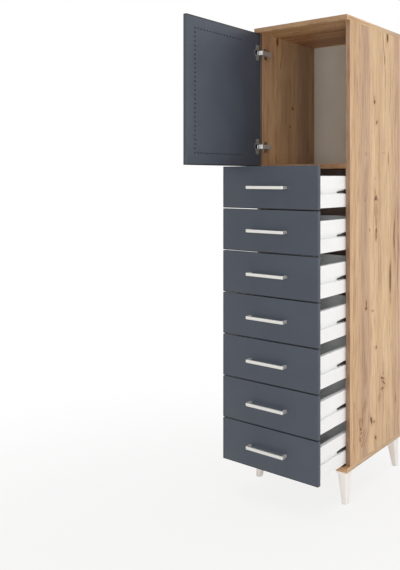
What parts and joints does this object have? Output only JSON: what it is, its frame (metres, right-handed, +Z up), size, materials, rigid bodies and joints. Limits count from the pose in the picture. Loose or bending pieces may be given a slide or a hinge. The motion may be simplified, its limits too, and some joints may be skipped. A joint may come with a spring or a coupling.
{
  "type": "chifforobe",
  "caption": "Tall narrow chifforobe: hinged door compartment over a stack of drawers with bar pulls, oak-look case on tapered cream legs.",
  "frame": {"origin": "on the floor, at the middle of the footprint of everything as pictured, with the door open at a right angle and the drawers drawn out", "axes": "+Z up, +Y from the front to the back of the case, +X to the right as seen from the front"},
  "size_m": [0.4608, 0.8586, 1.82],
  "materials": {
    "oak_board": "satin oak decor on particle board, edges banded",
    "back_board": "painted hardboard, matt",
    "white_board": "white melamine on particle board",
    "anthracite_front": "matt anthracite foil on board",
    "nickel_handle": "satin nickel",
    "hinge_steel": "bright nickel plate",
    "runner_steel": "zinc plated, white lacquered",
    "cream_leg": "moulded, semi-gloss"
  },
  "bodies": {
    "case": {"top_board": "oak_board", "bottom_board": "oak_board", "left_side_panel": "oak_board", "right_side_panel": "oak_board", "divider_shelf": "oak_board", "back_panel": "back_board", "leg_front_left": "cream_leg", "leg_front_right": "cream_leg", "leg_rear_right": "cream_leg", "leg_rear_left": "cream_leg", "hinge_arm_upper": "hinge_steel", "hinge_plate_upper": "hinge_steel", "hinge_arm_lower": "hinge_steel", "hinge_plate_lower": "hinge_steel", "runner_1_left": "runner_steel", "runner_1_right": "runner_steel", "runner_2_left": "runner_steel", "runner_2_right": "runner_steel", "runner_3_left": "runner_steel", "runner_3_right": "runner_steel", "runner_4_left": "runner_steel", "runner_4_right": "runner_steel", "runner_5_left": "runner_steel", "runner_5_right": "runner_steel", "runner_6_left": "runner_steel", "runner_6_right": "runner_steel", "runner_7_left": "runner_steel", "runner_7_right": "runner_steel"},
    "door": {"door_panel": "anthracite_front", "door_handle": "nickel_handle", "hinge_cup_upper": "hinge_steel", "hinge_cup_lower": "hinge_steel"},
    "drawer_1": {"drawer_1_front": "anthracite_front", "drawer_1_handle": "nickel_handle", "drawer_1_box": "white_board", "drawer_1_bottom": "back_board"},
    "drawer_2": {"drawer_2_front": "anthracite_front", "drawer_2_handle": "nickel_handle", "drawer_2_box": "white_board", "drawer_2_bottom": "back_board"},
    "drawer_3": {"drawer_3_front": "anthracite_front", "drawer_3_handle": "nickel_handle", "drawer_3_box": "white_board", "drawer_3_bottom": "back_board"},
    "drawer_4": {"drawer_4_front": "anthracite_front", "drawer_4_handle": "nickel_handle", "drawer_4_box": "white_board", "drawer_4_bottom": "back_board"},
    "drawer_5": {"drawer_5_front": "anthracite_front", "drawer_5_handle": "nickel_handle", "drawer_5_box": "white_board", "drawer_5_bottom": "back_board"},
    "drawer_6": {"drawer_6_front": "anthracite_front", "drawer_6_handle": "nickel_handle", "drawer_6_box": "white_board", "drawer_6_bottom": "back_board"},
    "drawer_7": {"drawer_7_front": "anthracite_front", "drawer_7_handle": "nickel_handle", "drawer_7_box": "white_board", "drawer_7_bottom": "back_board"}
  },
  "joints": [
    {"name": "door_hinge", "type": "hinge", "parent": "case", "child": "door", "pos_m": [-0.19455, -0.0059, 1.53], "axis": [0, 0, -1], "range_deg": [-90, 10]},
    {"name": "drawer_1_slide", "type": "slide", "parent": "case", "child": "drawer_1", "axis": [0, -1, 0], "range_m": [-0.197, 0.103]},
    {"name": "drawer_2_slide", "type": "slide", "parent": "case", "child": "drawer_2", "axis": [0, -1, 0], "range_m": [-0.197, 0.103]},
    {"name": "drawer_3_slide", "type": "slide", "parent": "case", "child": "drawer_3", "axis": [0, -1, 0], "range_m": [-0.197, 0.103]},
    {"name": "drawer_4_slide", "type": "slide", "parent": "case", "child": "drawer_4", "axis": [0, -1, 0], "range_m": [-0.197, 0.103]},
    {"name": "drawer_5_slide", "type": "slide", "parent": "case", "child": "drawer_5", "axis": [0, -1, 0], "range_m": [-0.197, 0.103]},
    {"name": "drawer_6_slide", "type": "slide", "parent": "case", "child": "drawer_6", "axis": [0, -1, 0], "range_m": [-0.197, 0.103]},
    {"name": "drawer_7_slide", "type": "slide", "parent": "case", "child": "drawer_7", "axis": [0, -1, 0], "range_m": [-0.197, 0.103]}
  ]
}
